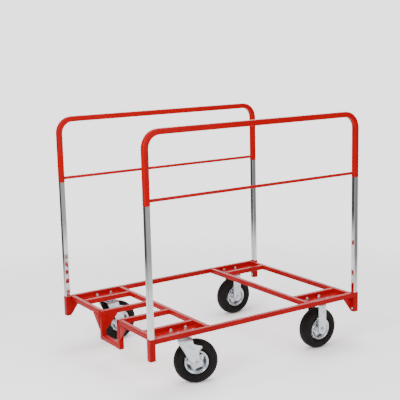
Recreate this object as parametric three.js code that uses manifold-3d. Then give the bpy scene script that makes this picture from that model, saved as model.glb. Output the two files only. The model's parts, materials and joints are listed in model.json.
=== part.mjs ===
// Round-table trolley: a welded square-tube base on four pneumatic casters, with a lift-out
// hoop along each long side. Round tables stand on edge across the two cross rails.
// Millimetres, +Z up, X along the trolley, floor at z = 0, origin under the middle of its footprint.
import * as THREE from 'three';
import { mergeVertices } from 'three/addons/utils/BufferGeometryUtils.js';
import Module from 'manifold-3d';

const wasm = await Module();
wasm.setup();

// Driving dimensions.
const gap = 0.35;                 // clearance between neighbouring pieces
const overallLength = 1320.8;     // over the corner sockets
const overallWidth = 939.8;
const frameTop = 285.75;
const hoopTop = 1274.8;

const tube = { size: 25.4, bore: 21.2, corner: 3 };
const socket = { size: 31.75, bore: 26.1, corner: 3.5, length: 107.15 };
const leg = { size: 25.4, bore: 21.2, corner: 2.5 };
const coat = { size: 28.6, bore: 26.1, corner: 4.5, lowerEnd: 922.5 };
const hoopBend = 76.2;            // centre-line radius of the two top bends
const hoopRail = { diameter: 15.9, height: 945 };
const stopBolt = { diameter: 6.3, head: 11, headHeight: 4.2, height: 197.3 };

const crossRailX = 317.5;         // the two rails that the tables stand on
const casterRailY = 323.85;
const slotRailY = 95.25;
const dropBottom = 131.4;         // underside of the low bar in the left side
const plateThickness = 4.75;
const socketGusset = { run: 56, drop: 75, inset: 9 };  // inset: from the socket's middle inwards
const dropGusset = { run: 68, drop: 74 };

const caster = {
  x: 433.4, plateLength: 114, plateWidth: 102, plateThickness: 5,
  boltX: 85, boltY: 67, boltHole: 10.5,
  trail: 65, legInside: 84, legThickness: 4,
  frontSwing: -22, rearSwing: 8,  // how far each swivel fork is turned at rest, in degrees
};
const crown = { from: -28, to: 54, thickness: 5, skirt: 12 };  // along the trail, from the king pin
const rigidLegHalfWidth = 26;
const race = { diameter: 76, height: 14, edge: 4 };
const kingPin = { diameter: 14, nut: 26, nutHeight: 7 };
const wheel = { diameter: 221, width: 72, rimDiameter: 121, rimWidth: 56, hub: 34, hubWidth: 74 };
const seatDepth = 9;              // from the rim's edge down to the tyre's seat
const beadHeight = 1.5;
const axle = { diameter: 12.7, nut: 22, nutHeight: 8, beyondNut: 3 };

// Places worked out from them.
const railZ = frameTop - tube.size / 2;
const frameUnderside = frameTop - tube.size;
const socketX = (overallLength - socket.size) / 2;
const socketY = (overallWidth - socket.size) / 2;
const socketInner = socketX - socket.size / 2;
const beamY = (overallWidth - tube.size) / 2;
const beamEnd = socketInner - gap;
const sideX = beamEnd - tube.size / 2;
const betweenBeams = beamY - tube.size / 2 - gap;
const moduleNear = crossRailX + tube.size / 2 + gap;
const moduleFar = sideX - tube.size / 2 - gap;
const casterY = (beamY + casterRailY) / 2;
const wheelRadius = wheel.diameter / 2;
const casterPlateZ = frameUnderside - gap - caster.plateThickness;
const crownTop = casterPlateZ - 2 * gap - race.height;

const redPaint = new THREE.MeshStandardMaterial({ color: 0xc11f17, roughness: 0.32, metalness: 0.1 });
const redCoating = new THREE.MeshStandardMaterial({ color: 0xcf1712, roughness: 0.28, metalness: 0 });
const chrome = new THREE.MeshStandardMaterial({ color: 0xd9dde2, roughness: 0.12, metalness: 1 });
const zinc = new THREE.MeshStandardMaterial({ color: 0xcfd6da, roughness: 0.3, metalness: 0.9 });
const rubber = new THREE.MeshStandardMaterial({ color: 0x1f1e1d, roughness: 0.8, metalness: 0 });

const sides = [['front', -1], ['rear', 1]];
const ends = [['left', -1], ['right', 1]];
const trolley = new THREE.Group();

function add(parent, name, geometry, material, x, y, z) {
  const mesh = new THREE.Mesh(geometry, material);
  mesh.name = name;
  mesh.position.set(x, y, z);
  parent.add(mesh);
  return mesh;
}

// A closed geometry as a solid, and back again.
function toSolid(geometry) {
  const bare = geometry.clone();
  bare.deleteAttribute('normal');
  bare.deleteAttribute('uv');
  const merged = mergeVertices(bare, 1e-4);
  return new wasm.Manifold(new wasm.Mesh({
    numProp: 3,
    vertProperties: new Float32Array(merged.attributes.position.array),
    triVerts: new Uint32Array(merged.index.array),
  }));
}

function toGeometry(solid) {
  const mesh = solid.getMesh();
  const geometry = new THREE.BufferGeometry();
  geometry.setAttribute('position', new THREE.BufferAttribute(mesh.vertProperties, 3));
  geometry.setIndex(new THREE.BufferAttribute(mesh.triVerts, 1));
  return geometry;
}

function join(...geometries) {
  return toGeometry(geometries.map(toSolid).reduce((whole, piece) => whole.add(piece)));
}

function cut(body, tool) {
  return toGeometry(toSolid(body).subtract(toSolid(tool)));
}

// Outlines.
function roundedSquare(size, corner) {
  const middle = size / 2 - corner;
  const outline = new THREE.Shape();
  [[1, 1], [-1, 1], [-1, -1], [1, -1]].forEach(([sx, sy], quarter) => {
    const start = quarter * Math.PI / 2;
    outline.absarc(sx * middle, sy * middle, corner, start, start + Math.PI / 2);
  });
  outline.closePath();
  return outline;
}

function polygon(points) {
  return new THREE.Shape(points.map(([x, y]) => new THREE.Vector2(x, y)));
}

function rectangle(length, width) {
  const [x, y] = [length / 2, width / 2];
  return polygon([[-x, -y], [x, -y], [x, y], [-x, y]]);
}

function tubeSection({ size, corner, bore }, boreCorner = 0) {
  const section = roundedSquare(size, corner);
  section.holes.push(boreCorner ? roundedSquare(bore, boreCorner) : rectangle(bore, bore));
  return section;
}

function roundHole(x, y, diameter) {
  return new THREE.Path().absarc(x, y, diameter / 2, 0, 2 * Math.PI, true);
}

// An outline extruded along +Z, centred on the origin.
function extrude(outline, depth, curveSegments = 1) {
  const geometry = new THREE.ExtrudeGeometry(outline, { depth, bevelEnabled: false, curveSegments });
  return geometry.translate(0, 0, -depth / 2);
}

// An outline stood up as a plate: its X stays X, its Y becomes Z.
function uprightPlate(outline, thickness, curveSegments) {
  return extrude(outline, thickness, curveSegments).rotateX(Math.PI / 2);
}

// A bar along Y.
function rod(diameter, length, segments = 16) {
  return new THREE.CylinderGeometry(diameter / 2, diameter / 2, length, segments);
}

// Half a profile of [radius, distance along the axle], from the inside outwards, mirrored and revolved.
function revolve(halfProfile, segments) {
  const mirrored = halfProfile.filter(([, y]) => y > 0).map(([r, y]) => [r, -y]).reverse();
  const loop = [...halfProfile, ...mirrored].reverse().map(([r, y]) => new THREE.Vector2(r, y));
  return new THREE.LatheGeometry([...loop, loop[0].clone()], segments);
}

// Base frame.
function tubeAlongX(name, from, to, y) {
  const geometry = extrude(tubeSection(tube), to - from);
  add(trolley, name, geometry, redPaint, (from + to) / 2, y, railZ).rotation.y = Math.PI / 2;
}

function tubeAlongY(name, x, from, to, z) {
  const geometry = extrude(tubeSection(tube), to - from);
  add(trolley, name, geometry, redPaint, x, (from + to) / 2, z).rotation.x = Math.PI / 2;
}

// An upright post, closed on top and open below.
function dropPost() {
  const height = frameTop - dropBottom;
  const wall = (tube.size - tube.bore) / 2;
  const hollow = new THREE.BoxGeometry(tube.bore, tube.bore, height).translate(0, 0, -wall);
  return cut(extrude(roundedSquare(tube.size, tube.corner), height), hollow);
}

// A three-cornered plate: the right angle at the origin, the run along +X, the drop downwards.
function gusset({ run, drop }) {
  return uprightPlate(polygon([[0, 0], [0, -drop], [run, 0]]), plateThickness);
}

const postOuter = slotRailY + tube.size / 2;
const postInner = slotRailY - tube.size / 2;
for (const [side, sy] of sides) {
  tubeAlongX(`${side}_beam`, -beamEnd, beamEnd, sy * beamY);
  tubeAlongX(`${side}_left_caster_rail`, -moduleFar, -moduleNear, sy * casterRailY);
  tubeAlongX(`${side}_right_caster_rail`, moduleNear, moduleFar, sy * casterRailY);
  tubeAlongX(`${side}_slot_rail`, -moduleFar, -moduleNear, sy * slotRailY);

  const sideMiddle = (betweenBeams + postOuter + gap) / 2;
  const sideHalf = (betweenBeams - postOuter - gap) / 2;
  tubeAlongY(`${side}_left_side_beam`, -sideX, sy * sideMiddle - sideHalf, sy * sideMiddle + sideHalf, railZ);
  add(trolley, `${side}_drop_post`, dropPost(), redPaint, -sideX, sy * slotRailY, (frameTop + dropBottom) / 2);
  add(trolley, `${side}_slot_gusset`, gusset(dropGusset), redPaint,
    -beamEnd + plateThickness / 2, sy * (postOuter + gap), frameUnderside - gap).rotation.z = sy * Math.PI / 2;
}
tubeAlongY('right_side_beam', sideX, -betweenBeams, betweenBeams, railZ);
tubeAlongY('left_cross_rail', -crossRailX, -betweenBeams, betweenBeams, railZ);
tubeAlongY('right_cross_rail', crossRailX, -betweenBeams, betweenBeams, railZ);
tubeAlongY('drop_bar', -sideX, gap - postInner, postInner - gap, dropBottom + tube.size / 2);
add(trolley, 'rear_drop_gusset', gusset(dropGusset), redPaint,
  -moduleFar, postInner + plateThickness / 2, frameUnderside - gap);
add(trolley, 'rear_left_socket_gusset', gusset(socketGusset), redPaint,
  -beamEnd, socketY - socketGusset.inset, frameUnderside - gap);
add(trolley, 'front_right_socket_gusset', gusset(socketGusset), redPaint,
  beamEnd, socketGusset.inset - socketY, frameUnderside - gap).rotation.z = Math.PI;

// Flat beds between the tubes, drilled for the caster bolts.
function drilledPlate(length, width, thickness, shift, curveSegments = 6) {
  const outline = rectangle(length, width);
  for (const sx of [-1, 1]) {
    for (const sy of [-1, 1]) {
      outline.holes.push(roundHole(shift + sx * caster.boltX / 2, sy * caster.boltY / 2, caster.boltHole));
    }
  }
  return extrude(outline, thickness, curveSegments);
}

const bedX = (moduleFar + moduleNear) / 2;
const bedLength = moduleFar - moduleNear;
const bedWidth = beamY - casterRailY - tube.size - 2 * gap;
for (const [side, sy] of sides) {
  for (const [end, sx] of ends) {
    add(trolley, `${side}_${end}_caster_bed`,
      drilledPlate(bedLength, bedWidth, plateThickness, sx * (caster.x - bedX)), redPaint,
      sx * bedX, sy * casterY, frameUnderside + plateThickness / 2);
  }
}

// Corner sockets, each with a cross bolt that the hoop's leg stands on.
function socketTube(sx) {
  const wall = (socket.size - socket.bore) / 2;
  const drill = rod(stopBolt.diameter + 2 * gap, 4 * wall, 12).rotateZ(Math.PI / 2);
  drill.translate(-sx * socket.size / 2, 0, stopBolt.height - frameTop + socket.length / 2);
  return cut(extrude(tubeSection(socket), socket.length), drill);
}

// Head below y = 0 and shank above it.
function crossBolt() {
  const reach = (socket.size + socket.bore) / 2 - gap;
  const shank = rod(stopBolt.diameter, reach + stopBolt.headHeight, 12);
  const head = rod(stopBolt.head, stopBolt.headHeight, 6).translate(0, -stopBolt.headHeight / 2 - gap, 0);
  return join(shank.translate(0, (reach - stopBolt.headHeight) / 2, 0), head);
}

for (const [side, sy] of sides) {
  for (const [end, sx] of ends) {
    add(trolley, `${side}_${end}_socket`, socketTube(sx), redPaint,
      sx * socketX, sy * socketY, frameTop - socket.length / 2);
    add(trolley, `${side}_${end}_stop_bolt`, crossBolt(), zinc,
      sx * socketInner, sy * socketY, stopBolt.height).rotation.z = -sx * Math.PI / 2;
  }
}

// Hoops: one tube up a leg, round two bends and down the other leg.
const bendSteps = 6;
const hoopSteps = 2 * bendSteps + 3;

class HoopPath extends THREE.Curve {
  constructor(bottom) {
    super();
    this.bottom = bottom;
  }

  // A leg takes one step of t, a bend takes bendSteps and the top rail one.
  getPoint(t, target = new THREE.Vector3()) {
    const side = t < 0.5 ? -1 : 1;
    const step = Math.min(t, 1 - t) * hoopSteps;
    const bendBottom = hoopTop - coat.size / 2 - hoopBend;
    const turn = THREE.MathUtils.clamp((step - 1) / bendSteps, 0, 1) * Math.PI / 2;
    const alongTop = Math.max(0, 2 * (step - 1 - bendSteps));
    const x = (socketX - hoopBend) * (1 - alongTop) + hoopBend * Math.cos(turn);
    const z = bendBottom + hoopBend * Math.sin(turn) - (bendBottom - this.bottom) * Math.max(0, 1 - step);
    return target.set(side * x, 0, z);
  }

  getUtoTmapping(u) {
    return u;
  }
}

function hoop(section, bottom) {
  return new THREE.ExtrudeGeometry(section, {
    steps: hoopSteps, curveSegments: 1, bevelEnabled: false, extrudePath: new HoopPath(bottom),
  });
}

const legBottom = stopBolt.height + stopBolt.diameter / 2 + gap;
const hoopRailLength = 2 * (socketX - coat.size / 2 - gap);
for (const [side, sy] of sides) {
  const y = sy * socketY;
  add(trolley, `${side}_hoop_tube`, hoop(tubeSection(leg), legBottom), chrome, 0, y, 0);
  add(trolley, `${side}_hoop_coating`, hoop(tubeSection(coat, leg.corner), coat.lowerEnd), redCoating, 0, y, 0);
  add(trolley, `${side}_hoop_rail`, rod(hoopRail.diameter, hoopRailLength), redCoating,
    0, y, hoopRail.height).rotation.z = Math.PI / 2;
}

// Wheels.
const rimRadius = wheel.rimDiameter / 2;
const seatRadius = rimRadius - seatDepth;
const rimHalf = wheel.rimWidth / 2;

function tyreGeometry() {
  const half = wheel.width / 2;
  const bead = rimRadius + beadHeight;
  // seat, bead, sidewall, shoulder, tread
  return revolve([[seatRadius + gap, 0], [seatRadius + gap, rimHalf - 7], [bead, rimHalf - 4],
    [bead + 2, rimHalf + 3], [(bead + wheelRadius) / 2, half], [wheelRadius - 12, half - 4],
    [wheelRadius - 3, half - 14], [wheelRadius, half - 25]], 32);
}

function rimGeometry() {
  const bore = axle.diameter / 2 + gap;
  // hub, web, flange, seat
  return revolve([[bore, wheel.hubWidth / 2], [wheel.hub / 2, wheel.hubWidth / 2], [wheel.hub / 2 + 3, 11],
    [seatRadius - 5, 8], [seatRadius - 3, rimHalf - 6], [rimRadius - 2, rimHalf], [rimRadius, rimHalf - 2],
    [seatRadius, rimHalf - 6], [seatRadius, 0]], 24);
}

function axleGeometry() {
  const nutStart = caster.legInside / 2 + caster.legThickness + gap;
  const end = nutStart + axle.nutHeight + axle.beyondNut;
  const nuts = [-1, 1].map((sy) => rod(axle.nut, axle.nutHeight, 6)
    .translate(0, sy * (nutStart + axle.nutHeight / 2), 0));
  return join(rod(axle.diameter, 2 * end), ...nuts);
}

function addWheel(group, prefix, x) {
  add(group, `${prefix}_tyre`, tyreGeometry(), rubber, x, 0, wheelRadius);
  add(group, `${prefix}_rim`, rimGeometry(), zinc, x, 0, wheelRadius);
  add(group, `${prefix}_axle`, axleGeometry(), zinc, x, 0, wheelRadius);
}

// The two legs of a fork, bored for the axle at axleX.
function forkLegs(outline, axleX) {
  outline.holes.push(roundHole(axleX, wheelRadius, axle.diameter + 2 * gap));
  const y = (caster.legInside + caster.legThickness) / 2;
  return [-1, 1].map((sy) => uprightPlate(outline, caster.legThickness, 8).translate(0, sy * y, 0));
}

function casterPlate() {
  return drilledPlate(caster.plateLength, caster.plateWidth, caster.plateThickness, 0)
    .translate(0, 0, casterPlateZ + caster.plateThickness / 2);
}

// Rigid caster: straight legs with round lower ends, welded to the plate.
function rigidFork() {
  const half = rigidLegHalfWidth;
  const outline = new THREE.Shape();
  outline.moveTo(half, casterPlateZ + 1);
  outline.lineTo(-half, casterPlateZ + 1);
  outline.absarc(0, wheelRadius, half, Math.PI, 2 * Math.PI);
  outline.closePath();
  return join(casterPlate(), ...forkLegs(outline, 0));
}

// Swivel caster: the plate with its king pin, the ball race, and the fork that turns on them.
const nutTop = crownTop - crown.thickness - gap;

function swivelHead() {
  const pinTop = casterPlateZ + 1;
  const pinLength = pinTop - nutTop + kingPin.nutHeight;
  const pin = rod(kingPin.diameter, pinLength).rotateX(Math.PI / 2).translate(0, 0, pinTop - pinLength / 2);
  const nut = rod(kingPin.nut, kingPin.nutHeight, 6).rotateX(Math.PI / 2);
  return join(casterPlate(), pin, nut.translate(0, 0, nutTop - kingPin.nutHeight / 2));
}

function ballRace() {
  const [radius, half] = [race.diameter / 2, race.height / 2];
  return revolve([[kingPin.diameter / 2 + gap, half], [radius - race.edge, half],
    [radius, half - race.edge]], 20).rotateX(Math.PI / 2);
}

function swivelFork() {
  // Down the slanting edge, round the axle, up past the waist to the ear.
  const legOutline = polygon([[crown.to, crownTop], [crown.from, crownTop], [crown.from, crownTop - crown.skirt],
    [caster.trail - 44, 130], [caster.trail - 15, 96], [caster.trail, 91], [caster.trail + 15, 96],
    [caster.trail + 19, 112], [caster.trail + 13, 132], [caster.trail + 15, 164],
    [caster.trail + 26, 186], [caster.trail + 26, 204], [caster.trail - 3, 206]]);
  const width = caster.legInside + 2 * caster.legThickness;
  const crownOutline = rectangle(crown.to - crown.from, width);
  const crownMiddle = (crown.from + crown.to) / 2;
  crownOutline.holes.push(roundHole(-crownMiddle, 0, kingPin.diameter + 2 * gap));
  const crownPlate = extrude(crownOutline, crown.thickness, 8)
    .translate(crownMiddle, 0, crownTop - crown.thickness / 2);
  return join(crownPlate, ...forkLegs(legOutline, caster.trail));
}

for (const [side, sy] of sides) {
  const rigid = new THREE.Group();
  rigid.position.set(caster.x, sy * casterY, 0);
  add(rigid, `${side}_right_fork`, rigidFork(), zinc, 0, 0, 0);
  addWheel(rigid, `${side}_right`, 0);
  trolley.add(rigid);

  const swivel = new THREE.Group();
  swivel.position.set(-caster.x, sy * casterY, 0);
  add(swivel, `${side}_left_swivel_head`, swivelHead(), zinc, 0, 0, 0);
  add(swivel, `${side}_left_ball_race`, ballRace(), zinc, 0, 0, crownTop + gap + race.height / 2);
  const turning = new THREE.Group();
  turning.rotation.z = THREE.MathUtils.degToRad(sy < 0 ? caster.frontSwing : caster.rearSwing);
  add(turning, `${side}_left_fork`, swivelFork(), zinc, 0, 0, 0);
  addWheel(turning, `${side}_left`, caster.trail);
  swivel.add(turning);
  trolley.add(swivel);
}

// The front-left wheel stands out past the frame, so the middle of the footprint is found from the whole.
trolley.updateMatrixWorld(true);
const middle = new THREE.Box3().setFromObject(trolley, true).getCenter(new THREE.Vector3());
trolley.position.set(-middle.x, -middle.y, 0);

export default trolley;
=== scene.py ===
import json
import math
import bpy
import numpy as np
from mathutils import Matrix, Vector


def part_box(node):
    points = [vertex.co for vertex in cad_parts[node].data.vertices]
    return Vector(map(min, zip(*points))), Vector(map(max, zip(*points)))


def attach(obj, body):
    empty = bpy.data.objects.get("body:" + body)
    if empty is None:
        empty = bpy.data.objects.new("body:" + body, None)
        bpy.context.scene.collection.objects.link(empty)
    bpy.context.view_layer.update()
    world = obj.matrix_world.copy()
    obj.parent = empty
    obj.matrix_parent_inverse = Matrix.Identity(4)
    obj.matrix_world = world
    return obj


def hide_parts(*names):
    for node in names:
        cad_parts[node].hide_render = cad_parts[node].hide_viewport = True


# A round-table trolley: red square-tube base, two chrome and red hoops, four pneumatic casters.
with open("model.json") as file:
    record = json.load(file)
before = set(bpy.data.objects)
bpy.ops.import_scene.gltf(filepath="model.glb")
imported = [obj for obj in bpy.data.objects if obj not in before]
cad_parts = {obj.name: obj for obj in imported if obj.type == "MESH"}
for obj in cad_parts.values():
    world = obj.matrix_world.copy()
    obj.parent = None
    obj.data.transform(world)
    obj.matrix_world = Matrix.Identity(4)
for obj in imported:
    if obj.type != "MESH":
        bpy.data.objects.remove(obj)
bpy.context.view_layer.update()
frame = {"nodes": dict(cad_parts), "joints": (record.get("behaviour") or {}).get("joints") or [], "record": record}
joints = {joint["name"]: joint for joint in frame["joints"]}
fullTurn = 2 * math.pi
upwards = (0, 0, 1)
centreHole = 0.0005  # revolved discs keep a tiny hole, so that no point lies on the axis
sides = ("front", "rear")
ends = (("left", -1), ("right", 1))

# camera: place in metres, heading from +Y towards +X, angles in degrees
camera = {"place": (-2.6613, -3.9596, 1.6834), "heading": 33.35, "down": 10.34, "roll": 1.36,
          "lens": 81.0, "sensor": 36}


def addObject(name, data):
    item = bpy.data.objects.new(name, data)
    bpy.context.collection.objects.link(item)
    return item


def makeCamera(values):
    heading, down, roll = (math.radians(values[k]) for k in ("heading", "down", "roll"))
    level = math.cos(down)
    forward = Vector((math.sin(heading) * level, math.cos(heading) * level, -math.sin(down)))
    sideways = forward.cross(Vector((0, 0, 1))).normalized()
    upright = sideways.cross(forward)
    right = sideways * math.cos(roll) - upright * math.sin(roll)
    up = sideways * math.sin(roll) + upright * math.cos(roll)
    data = bpy.data.cameras.new("camera")
    data.lens = values["lens"]
    data.sensor_width = values["sensor"]
    item = addObject("camera", data)
    turned = Matrix((right, up, -forward)).transposed().to_4x4()
    item.matrix_world = Matrix.Translation(values["place"]) @ turned
    bpy.context.scene.camera = item


makeCamera(camera)
print("camera set")


# quads between neighbouring rows and columns of a grid, each direction closed or open
def gridQuads(rows, columns, closeRows, closeColumns):
    row = np.arange(rows if closeRows else rows - 1)[:, None]
    column = np.arange(columns if closeColumns else columns - 1)[None, :]
    nextRow = (row + 1) % rows
    nextColumn = (column + 1) % columns
    quad = (row * columns + column, row * columns + nextColumn,
            nextRow * columns + nextColumn, nextRow * columns + column)
    return np.stack([np.broadcast_to(c, (row.size, column.size)) for c in quad], axis=-1).reshape(-1, 4)


# volume of a closed mesh: a sixth of the sum of (a x b) . c over its triangles
def volumeOf(points, faces):
    total = 0.0
    for corner in range(1, faces.shape[1] - 1):
        a, b, c = points[faces[:, 0]], points[faces[:, corner]], points[faces[:, corner + 1]]
        total += float(np.einsum("ij,ij->i", np.cross(a, b), c).sum()) / 6
    return total


# a closed shell: its rings of points (rows, columns, 3), joined at both ends or capped there
def shell(rings, caps=False):
    rows, columns = rings.shape[:2]
    points = rings.reshape(-1, 3)
    quads = gridQuads(rows, columns, not caps, True)
    faces = quads.tolist()
    turned = volumeOf(points - points.mean(axis=0), quads) < 0
    if caps:
        faces += [list(range(columns))[::-1], list(range((rows - 1) * columns, rows * columns))]
    if turned:
        faces = [face[::-1] for face in faces]
    return points, faces


# several shells as one mesh piece that rides on a body; edges past sharp degrees stay hard
def makePiece(name, shells, slot, body, replaced=None, sharp=38, material=None):
    points, faces, start = [], [], 0
    for shellPoints, shellFaces in shells:
        points.append(shellPoints)
        faces += [[index + start for index in face] for face in shellFaces]
        start += len(shellPoints)
    mesh = bpy.data.meshes.new(name)
    mesh.from_pydata(np.concatenate(points).tolist(), [], faces)
    mesh.validate()
    mesh.shade_smooth()
    mesh.set_sharp_from_angle(angle=math.radians(sharp))
    mesh.materials.append(material or slotMaterials[slot])
    item = addObject(name, mesh)
    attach(item, body)
    if replaced:
        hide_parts(replaced)


# the direction (cos a, sin a) of each angle
def towards(angle):
    return np.stack([np.cos(angle), np.sin(angle)], axis=-1)


# rounded square loops: each corner's arc is (cos a, sin a) * corner about (half - corner), with a
# support point on each flat beside it so that the flat shades flat; half and corner may be arrays
def squareLoop(half, corner, arcSteps=5, support=0.0007):
    quarter = np.repeat(np.arange(4) * math.pi / 2, arcSteps + 3)
    turn = np.tile(np.concatenate([[0], np.linspace(0, math.pi / 2, arcSteps + 1), [math.pi / 2]]), 4)
    angle = quarter + turn
    middle = np.sign(towards(quarter + math.pi / 4))
    place = np.tile(np.arange(arcSteps + 3), 4)
    slide = np.where(place == 0, -1, np.where(place == arcSteps + 2, 1, 0)) * math.pi / 2
    along = towards(angle + slide) * (slide != 0)[:, None]
    half = np.asarray(half, float)[..., None, None]
    corner = np.asarray(corner, float)[..., None, None]
    return middle * (half - corner) + towards(angle) * corner + along * support


# loops (rows or one, columns, 2) carried along a path: point = path + loop.x * across + loop.y * over
def carry(loops, path, across, over):
    loops = np.broadcast_to(loops, (len(path),) + loops.shape[-2:])
    across = np.broadcast_to(across, path.shape)[:, None, :]
    over = np.broadcast_to(over, path.shape)[:, None, :]
    return path[:, None, :] + loops[..., :1] * across + loops[..., 1:] * over


# a hollow tube: the outer rings out along the path, the inner rings back
def hollow(path, across, over, outer, inner):
    out, back = (carry(loops, path, across, over) for loops in (outer, inner))
    return shell(np.concatenate([out, back[::-1]]))


def unit(values):
    values = np.asarray(values, float)
    return values / np.linalg.norm(values, axis=-1, keepdims=True)


# two directions square to an axis
def squareTo(axis):
    axis = unit(axis)
    helper = np.array([0.0, 0, 1]) if abs(axis[2]) < 0.9 else np.array([1.0, 0, 0])
    first = unit(np.cross(helper, axis))
    return first, np.cross(axis, first)


# even angles round an axis and the direction outwards at each: cos a * first + sin a * second
def spokesRound(axis, steps):
    first, second = squareTo(axis)
    angle = np.arange(steps) * fullTurn / steps
    return angle, np.cos(angle)[:, None] * first + np.sin(angle)[:, None] * second


# a circle of loops, one per radius, in two dimensions
def circleLoops(radii, steps):
    return radii[:, None, None] * towards(np.arange(steps) * fullTurn / steps)


# a closed section swept round an axis: point = centre + radial * spoke + along * axis
def sweep(centre, axis, spokes, radial, along):
    return shell(np.asarray(centre) + radial[..., None] * spokes[:, None] + along[..., None] * unit(axis))


# a closed profile of (radius, distance along the axis) revolved about the axis
def revolve(profile, centre, axis, steps=96):
    profile = np.asarray(profile, float)[None]
    return sweep(centre, axis, spokesRound(axis, steps)[1], profile[..., 0], profile[..., 1])


# a profile followed by its mirror image across the plane at distance 0
def mirrored(profile):
    return profile + [(r, -y) for r, y in profile[::-1]]


# corner cutting: each side of a closed outline gives points at a quarter and three quarters
def soften(outline, times=2):
    outline = np.asarray(outline, float)
    for _ in range(times):
        following = np.roll(outline, -1, axis=0)
        outline = np.stack([0.75 * outline + 0.25 * following, 0.25 * outline + 0.75 * following],
                           axis=1).reshape(-1, outline.shape[1])
    return outline


# a flat plate from a convex outline, its edges rounded off by moving the outline in by
# (1 - cos a) * bevel while it rises by sin a * bevel
def plate(outline, thickness, origin, across, over, bevel=0.0008):
    outline = np.asarray(outline, float)
    before = unit(outline - np.roll(outline, 1, axis=0))
    after = unit(np.roll(outline, -1, axis=0) - outline)
    side = before + after
    inward = np.stack([-side[:, 1], side[:, 0]], axis=-1)
    inward /= np.maximum(np.einsum("ij,ij->i", inward, inward) / 2, 0.35)[:, None]
    turn = np.linspace(0, math.pi / 2, 4)
    inset = np.concatenate([(1 - np.sin(turn)), (1 - np.sin(turn))[::-1]]) * bevel
    lift = np.concatenate([-thickness / 2 + bevel - bevel * np.cos(turn),
                           (thickness / 2 - bevel + bevel * np.cos(turn))[::-1]])
    across, over = np.asarray(across, float), np.asarray(over, float)
    flat = outline[None] + inward[None] * inset[:, None, None]
    rings = (np.asarray(origin) + flat[..., :1] * across + flat[..., 1:] * over
             + lift[:, None, None] * np.cross(across, over))
    return shell(rings, caps=True)


# corners of (cos a, sin a) * radius about the corner centres
def roundedRectangle(length, width, radius, steps=5):
    turn = np.tile(np.linspace(0, math.pi / 2, steps + 1), 4)
    quarter = np.repeat(np.arange(4) * math.pi / 2, steps + 1)
    corner = np.array([length / 2 - radius, width / 2 - radius])
    return np.sign(towards(quarter + math.pi / 4)) * corner + radius * towards(quarter + turn)


# a hexagon with chamfered ends: radius = apothem / cos(angle to the nearest flat's middle),
# held to the chamfer circle at its top and bottom
def hexagon(apothem, height, base, axis, steps=48):
    angle, spokes = spokesRound(axis, steps)
    toFlat = np.mod(angle + math.pi / 6, math.pi / 3) - math.pi / 6
    corner = apothem / np.cos(toFlat)
    chamfered = np.minimum(corner, apothem * 1.01)
    chamfer = apothem * 0.13
    levels = np.array([0, chamfer * 0.5, chamfer, height - chamfer, height - chamfer * 0.5, height])
    halfway = (corner + chamfered) / 2
    radii = np.stack([chamfered, halfway * 0.5 + corner * 0.5, corner, corner,
                      halfway * 0.5 + corner * 0.5, chamfered])
    rings = np.asarray(base) + radii[..., None] * spokes + levels[:, None, None] * unit(axis)
    return shell(rings, caps=True)


# a threaded end: radius = pitch radius + depth * cos(turns * angle - along / pitch), rounded at its tip
def threadedEnd(radius, length, base, axis, pitch=0.0016, steps=20):
    along = np.linspace(0, length, max(8, int(length / pitch * 5)))
    angle, spokes = spokesRound(axis, steps)
    groove = 0.045 * radius * np.cos(angle[None] - fullTurn * along[:, None] / pitch)
    taper = np.clip((length - along) / (0.35 * radius), 0, 1)[:, None]
    radii = (radius * 0.955 + groove) * (0.8 + 0.2 * np.sqrt(taper))
    rings = np.asarray(base) + radii[..., None] * spokes + along[:, None, None] * unit(axis)
    return shell(rings, caps=True)


# a ring or rod along an axis, its outer edges cut off by 0.3 of its height
def disc(inner, outer, height, base, axis, steps=40):
    soft = height * 0.3
    profile = [(inner, 0), (outer - soft, 0), (outer, soft), (outer, height - soft),
               (outer - soft, height), (inner, height)]
    return revolve(profile, base, axis, steps)


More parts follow.
